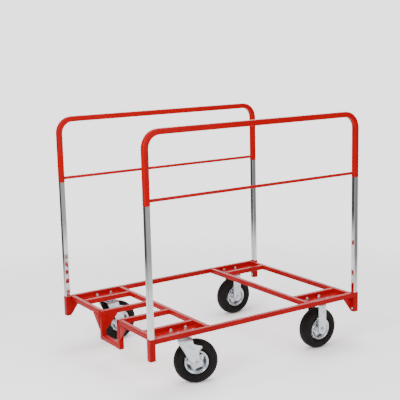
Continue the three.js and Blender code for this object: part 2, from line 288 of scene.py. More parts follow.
# short calls for placing and joining nodes in one tree: a group's own, or a material's or world's
class Wiring:
    def __init__(self, owner):
        if hasattr(owner, "use_nodes"):
            owner.use_nodes = True
            owner = owner.node_tree
        self.tree = owner
        self.tree.nodes.clear()

    def node(self, kind, **values):
        made = self.tree.nodes.new(kind)
        for key, value in values.items():
            setattr(made, key, value)
        return made

    def join(self, source, target):
        self.tree.links.new(source, target)

    def feed(self, target, value):
        if isinstance(value, bpy.types.NodeSocket):
            self.join(value, target)
        else:
            target.default_value = value

    def math(self, operation, *values):
        made = self.node("ShaderNodeMath", operation=operation)
        for target, value in zip(made.inputs, values):
            self.feed(target, value)
        return made.outputs[0]

    # base + mask * amount
    def plus(self, base, mask, amount):
        return self.math("ADD", base, self.math("MULTIPLY", mask, amount))

    def dot(self, first, second):
        made = self.node("ShaderNodeVectorMath", operation="DOT_PRODUCT")
        self.feed(made.inputs[0], first)
        self.feed(made.inputs[1], second)
        return made.outputs["Value"]

    def noise(self, vector, scale, detail=3.0, roughness=0.55, distortion=0.0):
        made = self.node("ShaderNodeTexNoise")
        self.join(vector, made.inputs["Vector"])
        self.feed(made.inputs["Scale"], scale)
        made.inputs["Detail"].default_value = detail
        made.inputs["Roughness"].default_value = roughness
        made.inputs["Distortion"].default_value = distortion
        return made.outputs[0]

    def ramp(self, value, low, high, outLow=0.0, outHigh=1.0):
        made = self.node("ShaderNodeMapRange", interpolation_type="SMOOTHSTEP")
        for target, given in zip(made.inputs, (value, low, high, outLow, outHigh)):
            self.feed(target, given)
        return made.outputs[0]

    def mix(self, factor, first, second):
        made = self.node("ShaderNodeMix", data_type="RGBA")
        self.feed(made.inputs[0], factor)
        self.feed(made.inputs[6], first)
        self.feed(made.inputs[7], second)
        return made.outputs[2]

    # another colour laid over a colour where the mask is, up to an amount
    def cover(self, colour, mask, amount, other):
        return self.mix(self.math("MULTIPLY", mask, amount), colour, other)

    def bump(self, height, strength, distance):
        made = self.node("ShaderNodeBump")
        made.inputs["Strength"].default_value = strength
        made.inputs["Distance"].default_value = distance
        self.join(height, made.inputs["Height"])
        self.join(made.outputs[0], self.shader.inputs["Normal"])

    def finish(self, colour, roughness, specular=None):
        self.join(colour, self.shader.inputs["Base Color"])
        self.join(roughness, self.shader.inputs["Roughness"])
        if specular is not None:
            self.shader.inputs["Specular IOR Level"].default_value = specular
        return self.material


# a node group that takes a vector and named numbers, with their usual values, and gives out numbers
def startGroup(name, inputs, outputs):
    tree = bpy.data.node_groups.new(name, "ShaderNodeTree")
    tree.interface.new_socket(name="Vector", in_out="INPUT", socket_type="NodeSocketVector")
    for key, value in inputs.items():
        socket = tree.interface.new_socket(name=key, in_out="INPUT", socket_type="NodeSocketFloat")
        socket.default_value = value
    for key in outputs:
        tree.interface.new_socket(name=key, in_out="OUTPUT", socket_type="NodeSocketFloat")
    w = Wiring(tree)
    return w, w.node("NodeGroupInput").outputs, w.node("NodeGroupOutput").inputs


# edge wear: where the rounded normal leaves the face's own, broken up by noise
def makeEdgeWear():
    w, given, out = startGroup("edgeWear", {"Width": 0.0015, "Break": 140.0}, ["Mask"])
    bevel = w.node("ShaderNodeBevel", samples=4)
    w.join(given["Width"], bevel.inputs["Radius"])
    geometry = w.node("ShaderNodeNewGeometry")
    edge = w.ramp(w.dot(bevel.outputs[0], geometry.outputs["Normal"]), 0.995, 0.9)
    patches = w.ramp(w.noise(given["Vector"], given["Break"], detail=4.0), 0.54, 0.66)
    w.join(w.math("MULTIPLY", edge, patches), out["Mask"])
    return w.tree


# dust: on faces that look up, in soft patches
def makeDust():
    w, given, out = startGroup("dust", {"Patches": 9.0, "Amount": 0.3}, ["Mask"])
    geometry = w.node("ShaderNodeNewGeometry")
    parts = w.node("ShaderNodeSeparateXYZ")
    w.join(geometry.outputs["Normal"], parts.inputs[0])
    upward = w.ramp(parts.outputs["Z"], 0.2, 1.0)
    broad = w.noise(given["Vector"], given["Patches"], detail=5.0)
    specks = w.ramp(w.noise(given["Vector"], 900.0, detail=2.0), 0.6, 0.72, 0.55, 1.0)
    mask = w.math("MULTIPLY", w.math("MULTIPLY", upward, w.ramp(broad, 0.35, 0.75)), specks)
    w.join(w.math("MULTIPLY", mask, given["Amount"]), out["Mask"])
    return w.tree


# grain: a fine height and a slow patchiness, for bump and gloss that vary over a surface
def makeGrain():
    w, given, out = startGroup("grain", {"Fine": 600.0, "Broad": 12.0}, ["Height", "Patches"])
    w.join(w.noise(given["Vector"], given["Fine"], detail=2.0), out["Height"])
    w.join(w.noise(given["Vector"], given["Broad"], detail=4.0, distortion=0.4), out["Patches"])
    return w.tree


edgeWear, dust, grain = makeEdgeWear(), makeDust(), makeGrain()


# a material with its Principled shader, and on its wiring object coordinates and the groups' masks
def startMaterial(name, values):
    material = bpy.data.materials.new(name)
    w = Wiring(material)
    w.material = material
    w.shader = w.node("ShaderNodeBsdfPrincipled")
    w.join(w.shader.outputs[0], w.node("ShaderNodeOutputMaterial").inputs[0])
    w.vector = w.node("ShaderNodeTexCoord").outputs["Object"]

    def place(group, **given):
        made = w.node("ShaderNodeGroup", node_tree=group)
        w.join(w.vector, made.inputs["Vector"])
        for key, value in given.items():
            made.inputs[key].default_value = value
        return made.outputs

    grained = place(grain, Fine=values["fine"], Broad=values["broad"])
    w.height, w.patches = grained["Height"], grained["Patches"]
    w.worn = place(edgeWear, Width=values["wearWidth"])["Mask"]
    w.dusty = place(dust, Amount=values["dustAmount"])["Mask"]
    return w


paint = {"red": (0.63, 0.0030, 0.0065, 1), "deep": (0.50, 0.0015, 0.0040, 1),
         "primer": (0.16, 0.035, 0.03, 1), "dust": (0.42, 0.33, 0.28, 1), "roughness": 0.17,
         "specular": 0.13, "fine": 420.0, "broad": 7.0, "wearWidth": 0.0013, "dustAmount": 0.05}


def makePaint():
    w = startMaterial("redPaint", paint)
    colour = w.mix(w.ramp(w.patches, 0.3, 0.75), paint["red"], paint["deep"])
    colour = w.cover(colour, w.worn, 0.55, paint["primer"])
    rough = w.plus(w.plus(paint["roughness"], w.patches, 0.12), w.dusty, 1.2)
    w.bump(w.height, 0.10, 0.0006)
    return w.finish(w.mix(w.dusty, colour, paint["dust"]), w.plus(rough, w.worn, 0.3), paint["specular"])


dip = {"red": (0.76, 0.0030, 0.0065, 1), "deep": (0.68, 0.002, 0.0055, 1),
       "scuff": (0.50, 0.012, 0.011, 1), "dust": (0.5, 0.4, 0.35, 1), "roughness": 0.16,
       "specular": 0.13, "fine": 240.0, "broad": 9.0, "wearWidth": 0.002, "dustAmount": 0.04}


def makeDip():
    w = startMaterial("redDip", dip)
    colour = w.mix(w.ramp(w.patches, 0.3, 0.75), dip["red"], dip["deep"])
    scuffs = w.ramp(w.noise(w.vector, 55.0, detail=6.0, roughness=0.7, distortion=1.2), 0.66, 0.74)
    colour = w.cover(colour, scuffs, 0.12, dip["scuff"])
    rough = w.plus(w.plus(dip["roughness"], w.patches, 0.12), scuffs, 0.25)
    w.bump(w.height, 0.06, 0.0006)
    return w.finish(w.mix(w.dusty, colour, dip["dust"]), rough, dip["specular"])


chrome = {"bright": (0.80, 0.81, 0.83, 1), "dull": (0.62, 0.62, 0.62, 1), "roughness": 0.05,
          "fine": 1200.0, "broad": 14.0, "wearWidth": 0.001, "dustAmount": 0.05}


# chrome, drawn out along its height
def makeChrome():
    w = startMaterial("chromePlate", chrome)
    stretched = w.node("ShaderNodeMapping")
    stretched.inputs["Scale"].default_value = (1.0, 1.0, 0.03)
    w.join(w.vector, stretched.inputs["Vector"])
    drawn = w.noise(stretched.outputs[0], 900.0, detail=2.0)
    scratches = w.ramp(drawn, 0.60, 0.70)
    smudges = w.ramp(w.patches, 0.42, 0.72)
    colour = w.cover(chrome["bright"], smudges, 0.5, chrome["dull"])
    w.shader.inputs["Metallic"].default_value = 1.0
    rough = w.plus(w.plus(chrome["roughness"], smudges, 0.09), scratches, 0.10)
    w.bump(drawn, 0.012, 0.0001)
    return w.finish(colour, rough)


zinc = {"bright": (0.80, 0.85, 0.91, 1), "warm": (0.62, 0.64, 0.66, 1), "dark": (0.16, 0.16, 0.17, 1),
        "dust": (0.45, 0.42, 0.38, 1), "roughness": 0.13, "fine": 500.0, "broad": 38.0,
        "wearWidth": 0.001, "dustAmount": 0.25}
# the same zinc darkened to blue-grey and made duller: painted shade for the hollow seen through the rim's gaps
paintedShadeValues = {**zinc, "bright": (0.10, 0.125, 0.155, 1), "warm": (0.07, 0.078, 0.088, 1),
             "dark": (0.03, 0.03, 0.03, 1), "roughness": 0.45}


def makeZinc(name, values):
    w = startMaterial(name, values)
    colour = w.mix(w.ramp(w.patches, 0.35, 0.7), values["bright"], values["warm"])
    specks = w.ramp(w.noise(w.vector, 260.0, detail=5.0, roughness=0.7), 0.62, 0.74)
    colour = w.cover(colour, specks, 0.45, values["dark"])
    colour = w.cover(colour, w.dusty, 0.6, values["dust"])
    w.join(w.math("SUBTRACT", 0.95, w.math("MULTIPLY", w.dusty, 0.8)), w.shader.inputs["Metallic"])
    rough = w.plus(w.plus(values["roughness"], w.patches, 0.22), specks, 0.2)
    w.bump(w.height, 0.12, 0.0004)
    return w.finish(colour, rough)


rubber = {"black": (0.0085, 0.0072, 0.0066, 1), "worn": (0.015, 0.0128, 0.0118, 1),
          "dust": (0.14, 0.12, 0.10, 1), "roughness": 0.48, "specular": 0.2, "fine": 900.0,
          "broad": 22.0, "wearWidth": 0.002, "dustAmount": 0.22}


def makeRubber():
    w = startMaterial("tyreRubber", rubber)
    colour = w.mix(w.ramp(w.patches, 0.35, 0.7), rubber["black"], rubber["worn"])
    marks = w.ramp(w.noise(w.vector, 75.0, detail=6.0, roughness=0.75, distortion=0.8), 0.6, 0.75)
    colour = w.cover(colour, marks, 0.22, rubber["dust"])
    colour = w.cover(colour, w.dusty, 0.5, rubber["dust"])
    rough = w.plus(w.plus(rubber["roughness"], w.patches, 0.25), marks, 0.15)
    w.bump(w.height, 0.25, 0.0005)
    return w.finish(colour, rough, rubber["specular"])


slotMaterials = {"red_paint": makePaint(), "red_dip": makeDip(), "chrome_tube": makeChrome(),
                 "zinc_plate": makeZinc("zincPlate", zinc), "tyre_rubber": makeRubber()}
paintedShadeZinc = makeZinc("paintedShadeZinc", paintedShadeValues)
for row in frame["record"]["subparts"]:
    node = frame["nodes"][row["node"]]
    node.data.materials.clear()
    node.data.materials.append(slotMaterials[row["material_slot"]])
print("materials made")


# corner radii, walls, the rounding of cut ends and the blunt noses of the gussets, in metres
frameTube = {"corner": 0.0030, "wall": 0.0021, "socketCorner": 0.0036, "socketWall": 0.0028,
             "cutEdge": 0.0004, "gussetNose": 0.004}


def corners(node):
    low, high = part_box(node)
    return np.array(low, float), np.array(high, float)


# points at places along a node's longest axis, from its low end or its high end, with half its
# thickness and the two directions across it
def alongNode(node, fromLow, fromHigh):
    low, high = corners(node)
    axis = int(np.argmax(high - low))
    path = np.tile((low + high) / 2, (len(fromLow) + len(fromHigh), 1))
    path[:, axis] = np.concatenate([low[axis] + np.array(fromLow), high[axis] - np.array(fromHigh)])
    return path, np.delete(high - low, axis).min() / 2, squareTo(np.eye(3)[axis])


# a square tube from a node's box, along its longest side
def straightTube(node, corner, wall):
    edge = frameTube["cutEdge"]
    path, half, (across, over) = alongNode(node, [0, edge], [edge, 0])
    outer = squareLoop(half - edge * np.array([1, 0, 0, 1]), corner)
    return hollow(path, across, over, outer, squareLoop(half - wall, max(corner - wall, 0.0008)))


tubeNodes = ["drop_bar", "left_cross_rail", "right_cross_rail", "right_side_beam"]
for side in sides:
    tubeNodes += [f"{side}_beam", f"{side}_left_caster_rail", f"{side}_right_caster_rail",
                  f"{side}_slot_rail", f"{side}_left_side_beam"]
for node in tubeNodes:
    tube = straightTube(node, frameTube["corner"], frameTube["wall"])
    makePiece(f"{node}_tube", [tube], "red_paint", "root", node)
for side in sides:
    for end, sx in ends:
        node = f"{side}_{end}_socket"
        tube = straightTube(node, frameTube["socketCorner"], frameTube["socketWall"])
        makePiece(f"{node}_tube", [tube], "red_paint", "root", node)


# a drop post: a square tube with a lid at its top, welded and ground round
def postShells(node):
    low, high = corners(node)
    middle = (low + high) / 2
    half = (high - low)[0] / 2
    inset = np.array([0.0004, 0, 0, 0.0004, 0.0011, 0.0022])
    path = np.tile(middle, (len(inset), 1))
    path[:, 2] = np.concatenate([low[2] + [0, 0.0004], high[2] - [0.002, 0.0012, 0.0004, 0]])
    alongX, alongY = np.eye(3)[:2]
    outer = carry(squareLoop(half - inset, frameTube["corner"]), path, alongX, alongY)
    inside = path[[0, 4]]
    inside[1, 2] -= frameTube["wall"]
    inner = carry(squareLoop(half - frameTube["wall"], 0.001), inside, alongX, alongY)
    return [shell(np.concatenate([inner[::-1], outer]), caps=True)]


for side in sides:
    node = f"{side}_drop_post"
    makePiece(f"{node}_tube", postShells(node), "red_paint", "root", node)


# the thin and wide axes of a gusset's box, the box, and its top corner on the given side
def gussetCorner(node, cornerSide):
    low, high = corners(node)
    thin = int(np.argmin(high - low))
    start = low if cornerSide < 0 else high
    start[2] = high[2]
    return thin, 1 - thin, corners(node), start


# a gusset whose long edges lie along the top and on the side given by its corner
def gussetShell(node, cornerSide):
    thin, wide, (low, high), start = gussetCorner(node, cornerSide)
    run, drop = (high - low)[[wide, 2]]
    start[thin] = (low[thin] + high[thin]) / 2
    nose = frameTube["gussetNose"]
    outline = [(0, 0), (0, -drop), (nose, -drop), (run, -nose), (run, 0)]
    return plate(outline, (high - low)[thin], start, -cornerSide * np.eye(3)[wide], upwards)


gussets = {"rear_drop_gusset": -1, "rear_left_socket_gusset": -1, "front_right_socket_gusset": 1,
           "front_slot_gusset": 1, "rear_slot_gusset": -1}
for node, cornerSide in gussets.items():
    makePiece(f"{node}_plate", [gussetShell(node, cornerSide)], "red_paint", "root", node)
print("frame tubes and gussets made")


# bead radius, ripple height and length, how far the bead's middle sits inside the tube's face, and
# the part of a gusset's edge that it runs along
weld = {"radius": 0.0021, "ripple": 0.00028, "pitch": 0.0030, "sunk": 0.0009, "steps": 0.0008,
        "reach": 0.95}


# a bead along a closed or open line: radius = radius + ripple * cos(along / pitch), a little uneven
def bead(line, closed=True, phase=0.0):
    following = np.roll(line, -1, axis=0)
    lengths = np.linalg.norm(following - line, axis=1)
    if not closed:
        lengths[-1] = 0
    along = np.concatenate([[0], np.cumsum(lengths)])
    total = along[-1]
    stations = np.arange(0, total, weld["steps"])
    if not closed:
        stations = np.linspace(0, total, max(4, len(stations)))
    full = np.vstack([line, line[:1]])
    place = np.stack([np.interp(stations, along, full[:, k]) for k in range(3)], axis=-1)
    if closed:
        ahead = unit(np.roll(place, -1, axis=0) - np.roll(place, 1, axis=0))
        normal = unit(np.cross(full[1] - full[0], full[2] - full[1]))
    else:
        ahead = unit(np.gradient(place, axis=0))
        normal = squareTo(ahead[0])[0]
    side = unit(np.cross(ahead, normal))
    wander = 0.10 * np.sin(stations * 190 + phase) + 0.06 * np.sin(stations * 431 + phase)
    radius = weld["radius"] * (1 + wander)
    radius = radius + weld["ripple"] * np.abs(np.cos(stations * math.pi / weld["pitch"] + phase))
    if not closed:
        radius = radius * np.sqrt(np.clip(np.minimum(stations, total - stations) / 0.002, 0.02, 1))
    return shell(carry(circleLoops(radius, 8), place, side, normal), caps=not closed)


# the line round a tube's end
def endLine(node, atHigh):
    path, half, (across, over) = alongNode(node, [0], [0])
    loop = squareLoop(half - weld["sunk"], frameTube["corner"], arcSteps=3)
    return path[int(atHigh)] + loop[:, :1] * across + loop[:, 1:] * over


# a bead kept inside the outer faces, as if ground flush
def groundBead(line, **given):
    points, faces = bead(line, **given)
    low = corners("front_left_socket")[0]
    high = corners("rear_right_socket")[1]
    points[:, :2] = np.clip(points[:, :2], low[:2], high[:2])
    return points, faces


weldShells = []
for number, node in enumerate(tubeNodes):
    for atHigh in (False, True):
        weldShells.append(groundBead(endLine(node, atHigh), phase=number + 0.5 * atHigh))
for number, (node, cornerSide) in enumerate(gussets.items()):
    thin, wide, (low, high), start = gussetCorner(node, cornerSide)
    for face in (low[thin], high[thin]):
        start[thin] = face
        alongTop, alongSide = start.copy(), start.copy()
        alongTop[wide] -= cornerSide * weld["reach"] * (high - low)[wide]
        alongSide[2] -= weld["reach"] * (high - low)[2]
        for far in (alongTop, alongSide):
            weldShells.append(groundBead(np.linspace(start, far, 5), closed=False, phase=number))
makePiece("frame_welds", weldShells, "red_paint", "root", sharp=60)
print("welds made")


# corner radii, the coating's rounding at its ends and the fillet where the cross rail meets the legs
hoop = {"tubeCorner": 0.0028, "coatCorner": 0.0050, "wall": 0.0021, "bend": 0.0762, "bendSteps": 14,
        "lip": 0.0014, "lipLength": 0.0016, "sag": 0.0007, "sagReach": 0.004, "uneven": 0.00012,
        "gap": 0.00005, "railFillet": 0.004, "topSteps": 12}


# up a leg, round a bend of radius R, along the top, and down: x = X - R + R cos a, z = Z - R + R sin a
def hoopPath(halfLength, bottom, top, y, extra):
    bend = hoop["bend"]
    turn = np.linspace(0, math.pi / 2, hoop["bendSteps"] + 1)
    leg = np.concatenate([bottom + np.asarray(extra), np.linspace(bottom + 0.02, top - bend - 0.001, 6)])
    up = np.stack([np.full(len(leg), halfLength), leg], axis=-1)
    arc = np.array([halfLength - bend, top - bend]) + bend * towards(turn)
    steps = hoop["topSteps"]
    flat = np.stack([np.linspace(halfLength - bend - 0.001, 0, steps), np.full(steps, top)], axis=-1)
    half = np.concatenate([up, arc, flat])
    right = half[::-1][1:]
    line = np.concatenate([half * [-1, 1], right])
    path = np.stack([line[:, 0], np.full(len(line), y), line[:, 1]], axis=-1)
    rise = np.concatenate([np.full(len(leg), math.pi), math.pi - turn, np.full(steps, math.pi / 2)])
    rise = np.concatenate([rise, math.pi - rise[::-1][1:]])
    outward = np.stack([np.cos(rise), np.zeros(len(rise)), np.sin(rise)], axis=-1)
    return path, outward


def makeHoop(side):
    coatLow, coatHigh = corners(f"{side}_hoop_coating")
    tubeLow, tubeHigh = corners(f"{side}_hoop_tube")
    y = (coatLow[1] + coatHigh[1]) / 2
    coatHalf = (coatHigh - coatLow)[1] / 2
    tubeHalf = (tubeHigh - tubeLow)[1] / 2
    halfLength = coatHigh[0] - coatHalf
    top = coatHigh[2] - coatHalf
    body = f"{side}_hoop"
    path, outward = hoopPath(halfLength, tubeLow[2], top, y, [0, frameTube["cutEdge"]])
    over = np.array([0.0, 1, 0])
    shortened = np.zeros(len(path))
    shortened[[0, -1]] = frameTube["cutEdge"]
    outer = squareLoop(tubeHalf - shortened, hoop["tubeCorner"])
    inner = squareLoop(tubeHalf - hoop["wall"], 0.001)
    makePiece(f"{side}_hoop_chrome", [hollow(path, outward, over, outer, inner)], "chrome_tube", body,
              f"{side}_hoop_tube")

    steps = np.array([0, 0.0003, 0.0008, 0.0016, 0.0030])
    path, outward = hoopPath(halfLength, coatLow[2], top, y, steps)
    lip = np.zeros(len(path))
    part = np.clip(steps / hoop["lipLength"], 0, 1)
    lip[:len(steps)] = hoop["lip"] * (1 - np.sqrt(part * (2 - part)))
    lip[-len(steps):] = lip[:len(steps)][::-1]
    along = np.concatenate([[0], np.cumsum(np.linalg.norm(np.diff(path, axis=0), axis=1))])
    uneven = hoop["uneven"] * (1 + np.sin(along * 31) * np.cos(along * 13))
    outer = squareLoop(coatHalf - lip - uneven, hoop["coatCorner"])
    inner = squareLoop(tubeHalf + hoop["gap"], hoop["tubeCorner"])
    points, faces = hollow(path, outward, over, outer, inner)
    # the dipped edge isn't quite straight: z rises by sag * (1 + sin(3 a)) / 2 at the ends
    angle = np.arctan2(points[:, 1] - y, np.abs(points[:, 0]) - halfLength)
    nearEnd = np.clip(1 - (points[:, 2] - coatLow[2]) / hoop["sagReach"], 0, 1)
    points[:, 2] += nearEnd * hoop["sag"] * (1 + np.sin(3 * angle + 5 * np.sign(points[:, 0]))) / 2
    makePiece(f"{side}_hoop_dip", [(points, faces)], "red_dip", body, f"{side}_hoop_coating")

    railLow, railHigh = corners(f"{side}_hoop_rail")
    radius = (railHigh - railLow)[2] / 2
    reach = (railHigh - railLow)[0] / 2
    fillet = hoop["railFillet"]
    fromEnd = np.array([0, 0.2, 0.5, 1.0, 1.6, 2.4, 4, 12]) * fillet
    between = np.linspace(-reach + 0.1, reach - 0.1, 9)
    stations = np.concatenate([-reach + fromEnd, between, (reach - fromEnd)[::-1]])
    distance = reach - np.abs(stations)
    radii = radius - 0.0001 + 0.75 * fillet * np.clip(1 - distance / fillet, 0, 1) ** 2.2
    line = np.tile((railLow + railHigh) / 2, (len(stations), 1))
    line[:, 0] = stations
    rail = shell(carry(circleLoops(radii, 32), line, np.eye(3)[1], np.eye(3)[2]), caps=True)
    makePiece(f"{side}_hoop_rail_dip", [rail], "red_dip", body, f"{side}_hoop_rail", sharp=70)


for side in sides:
    makeHoop(side)
print("hoops made")

# across half the flats, heights and radii of the cross bolts
socketBolt = {"head": 0.0052, "height": 0.0040, "washer": 0.0072, "washerHeight": 0.0009, "shank": 0.0031}
for side in sides:
    for end, sx in ends:
        node = f"{side}_{end}_stop_bolt"
        low, high = corners(node)
        base = (low + high) / 2
        base[0] = corners(f"{side}_{end}_socket")[1 if sx < 0 else 0][0]
        axis = np.array([-sx, 0, 0])
        depth = abs((low if sx < 0 else high)[0] - base[0])
        washer = socketBolt["washerHeight"]
        headHeight = socketBolt["height"] - washer
        screwShells = [disc(centreHole, socketBolt["washer"], washer, base, axis),
                       hexagon(socketBolt["head"], headHeight, base + axis * washer, axis),
                       threadedEnd(socketBolt["shank"], depth, base, -axis)]
        makePiece(f"{node}_screw", screwShells, "zinc_plate", "root", node)

tyre = {"around": 240, "section": 72, "sweep": 2.45, "squareness": 0.86, "bead": 0.0622,
        "drawnIn": 0.0013, "groove": 0.0019, "grooves": (-0.0175, -0.0062, 0.0062, 0.0175),
        "grooveWidth": 0.0013, "lugs": 44, "lugDepth": 0.0012, "shoulder": 0.0265,
        "shoulderWidth": 0.0045,
        "ridge": {"place": 0.009, "width": 0.0008, "height": 0.0009},
        "crease": {"place": 0.013, "width": 0.0010, "height": 0.0006}}
rim = {"lobes": 5, "webIn": 0.0168, "webOut": 0.0430, "lobe": 0.0062, "webPlace": 0.0125, "dish": 0.0035,
       "thickness": 0.0022, "hub": 0.0172, "hubHalf": 0.0365, "bolt": 0.0044, "boltHeight": 0.0038,
       "boltEnd": 0.0062, "boltCircle": 0.035, "half": 0.028, "flange": 0.0605}


# a bell curve: exp(-((v - middle) / width) squared)
def bell(values, middle, width):
    return np.exp(-((values - middle) / width) ** 2)


# section of the tyre: r = middle + a |cos p|^q, y = b |sin p|^q, grooved by bell curves and notched
# at the shoulders by cos(lugs * angle); an inner liner closes it
def tyreShell(radius, half, centre, axis):
    bead, q = tyre["bead"], tyre["squareness"]
    ridge, crease = tyre["ridge"], tyre["crease"]
    p = np.linspace(-tyre["sweep"], tyre["sweep"], tyre["section"])
    middle = (radius + bead) / 2
    reach = (radius - bead) / 2
    y = half * np.sign(np.sin(p)) * np.abs(np.sin(p)) ** q
    r = middle + reach * np.sign(np.cos(p)) * np.abs(np.cos(p)) ** q
    depth = bell(y[:, None], np.array(tyre["grooves"]), tyre["grooveWidth"]).sum(axis=1) * tyre["groove"]
    depth = depth * (r > middle)
    ring = (bell(r, bead + ridge["place"], ridge["width"]) * ridge["height"]
            - bell(r, bead + crease["place"], crease["width"]) * crease["height"])
    angle, spokes = spokesRound(axis, tyre["around"])
    shoulder = bell(np.abs(y), tyre["shoulder"], tyre["shoulderWidth"]) * (r > middle)
    notch = np.clip(np.cos(tyre["lugs"] * angle) * 2.5, 0, 1)
    radial = r[None] - depth[None] - tyre["lugDepth"] * notch[:, None] * shoulder[None]
    across = (y + np.sign(y) * (ring - tyre["drawnIn"]))[None] + 0 * angle[:, None]
    inside = np.linspace(0, 1, 10)
    linerR = np.interp(inside, [0, 0.15, 0.5, 0.85, 1], [r[-1], bead - 0.001, 0.058, bead - 0.001, r[0]])
    linerY = np.interp(inside, [0, 0.15, 0.85, 1], [y[-1] * 0.96, 0.021, -0.021, y[0] * 0.96])
    radial = np.concatenate([radial, np.tile(linerR, (len(angle), 1))], axis=1)
    across = np.concatenate([across, np.tile(linerY, (len(angle), 1))], axis=1)
    return sweep(centre, axis, spokes, radial, across)


# a lobed web: its edge is r = webOut + lobe cos(5 a), and it dishes outwards halfway along
def webShell(centre, axis, side):
    angle, spokes = spokesRound(axis, 120)
    edge = rim["webOut"] + rim["lobe"] * np.cos(rim["lobes"] * angle)
    across = np.linspace(0, 1, 12)
    radial = rim["webIn"] + (edge[:, None] - rim["webIn"]) * across[None]
    lift = rim["webPlace"] + rim["dish"] * np.sin(math.pi * across) - 0.002 * across ** 4
    lift = lift[None] + 0 * angle[:, None]
    radial = np.concatenate([radial, radial[:, ::-1]], axis=1)
    lift = np.concatenate([lift + rim["thickness"] / 2, (lift - rim["thickness"] / 2)[:, ::-1]], axis=1)
    return sweep(centre, axis, spokes, radial, side * lift)


# the rolled barrel, the hub, and on each side a web with its five bolts
def rimShells(centre, axis):
    half, flange, hub, hubHalf = (rim[k] for k in ("half", "flange", "hub", "hubHalf"))
    outside = [(0.0500, 0), (0.0500, 0.013), (0.0512, 0.019), (0.0545, 0.0225), (0.0578, 0.0235),
               (flange - 0.0006, half - 0.0022), (flange, half - 0.0008), (flange - 0.0006, half)]
    inside = [(flange - 0.0024, half - 0.0004), (0.0560, 0.0256), (0.0525, 0.0248), (0.0492, 0.0205),
              (0.0480, 0.0135), (0.0480, 0)]
    mirror = [(r, -y) for r, y in outside[1:] + inside[:-1]]
    barrel = soften(outside[::-1] + mirror + inside[::-1])
    hubProfile = [(0.0066, hubHalf - 0.001), (0.0095, hubHalf - 0.001), (0.0100, hubHalf - 0.0018),
                  (0.0138, hubHalf - 0.0018), (0.0144, hubHalf), (hub - 0.0006, hubHalf),
                  (hub, hubHalf - 0.0008), (hub, 0.016), (hub + 0.002, 0.0135)]
    shells = [revolve(barrel, centre, axis, 128), revolve(mirrored(hubProfile), centre, axis, 72)]
    spokes = spokesRound(axis, rim["lobes"])[1]
    for side in (-1, 1):
        shells.append(webShell(centre, axis, side))
        outwards = side * unit(axis)
        for spoke in spokes:
            base = np.asarray(centre) + rim["boltCircle"] * spoke
            base = base + outwards * (rim["webPlace"] + rim["dish"] * 0.75)
            shells.append(hexagon(rim["bolt"], rim["boltHeight"], base, outwards, 24))
            shells.append(threadedEnd(rim["bolt"] * 0.58, rim["boltEnd"], base, outwards, steps=12))
    return shells


# the dull drum between the two webs, seen through the gaps round them; its dark blue-grey is painted shade for the
# hollow inside the rim
def shadeDrumShell(centre, axis):
    half, edge = 0.0096, 0.0478
    profile = [(rim["hub"] - 0.001, half), (edge - 0.004, half), (edge, half + 0.003)]
    return revolve(mirrored(profile), centre, axis, 72)


# a valve stem standing out of the rim, leaning outwards
def valveShell(centre, axis):
    first, second = squareTo(axis)
    spoke = unit(0.35 * first + 0.94 * second)
    base = np.asarray(centre) + spoke * 0.0445 + unit(axis) * 0.019
    lean = unit(unit(axis) - 0.25 * spoke)
    profile = [(centreHole, 0), (0.0034, 0), (0.0034, 0.003), (0.0026, 0.005), (0.0026, 0.0105),
               (0.0034, 0.011), (0.0034, 0.0165), (0.0028, 0.0175), (centreHole, 0.0175)]
    return revolve(profile, base, lean, 20)


axle = {"legOut": 0.0462, "shaft": 0.0063, "bore": 0.0064, "washer": 0.0125, "washerHeight": 0.0016,
        "nut": 0.0095, "nutHeight": 0.0072, "end": 0.0062, "endLength": 0.0022, "spacer": 0.0092,
        "spacerPlace": 0.0368, "spacerLength": 0.0046}


# the axle bolt, its washers and nuts, and the spacers that hold the hub between the legs
def axleShells(centre, axis):
    centre, legOut, washer = np.asarray(centre), axle["legOut"], axle["washerHeight"]
    shells = [disc(centreHole, axle["shaft"], 2 * legOut, centre - unit(axis) * legOut, axis, 28)]
    for side in (-1, 1):
        outwards = side * unit(axis)
        base = centre + outwards * legOut
        nutTop = washer + axle["nutHeight"]
        shells += [disc(axle["bore"], axle["washer"], washer, base, outwards),
                   hexagon(axle["nut"], axle["nutHeight"], base + outwards * washer, outwards),
                   threadedEnd(axle["end"], axle["endLength"], base + outwards * nutTop, outwards),
                   disc(axle["bore"], axle["spacer"], axle["spacerLength"],
                        centre + outwards * axle["spacerPlace"], outwards)]
    return shells


def makeWheel(prefix, axleBody):
    spin = joints[f"{prefix}_wheel_spin"]
    centre, axis = np.array(spin["pos_m"], float), unit(spin["axis"])
    body = f"{prefix}_wheel"
    side = prefix.split("_")[0]
    straightLow, straightHigh = corners(f"{side}_right_tyre")
    radius = (straightHigh - straightLow)[2] / 2
    half = (straightHigh - straightLow)[1] / 2
    makePiece(f"{prefix}_tyre_rubber", [tyreShell(radius, half, centre, axis)], "tyre_rubber", body,
              f"{prefix}_tyre", sharp=50)
    makePiece(f"{prefix}_rim_pressing", rimShells(centre, axis), "zinc_plate", body, f"{prefix}_rim")
    # the drum wears the darkened zinc, painted shade inside the rim
    makePiece(f"{prefix}_rim_shade_drum", [shadeDrumShell(centre, axis)], "zinc_plate", body, material=paintedShadeZinc)
    makePiece(f"{prefix}_valve", [valveShell(centre, axis)], "tyre_rubber", body)
    makePiece(f"{prefix}_axle_bolt", axleShells(centre, axis), "zinc_plate", axleBody, f"{prefix}_axle")


for side in sides:
    makeWheel(f"{side}_left", f"{side}_left_swivel")
    makeWheel(f"{side}_right", "root")
print("wheels made")

# studs are at (boltX, boltY) from the plate's middle; halfWidth is half the rigid fork's width
caster = {"plate": (0.114, 0.102), "plateRadius": 0.010, "plateThickness": 0.005, "legThickness": 0.004,
          "legMiddle": 0.044, "bend": 0.011, "boltX": 0.0425, "boltY": 0.0335, "nut": 0.0078,
          "nutHeight": 0.0068, "lowerNut": 0.0050, "washer": 0.0100, "washerHole": 0.0048,
          "washerHeight": 0.0016, "stud": 0.0046, "studTop": 0.2775, "lip": 0.0028, "halfWidth": 0.026}


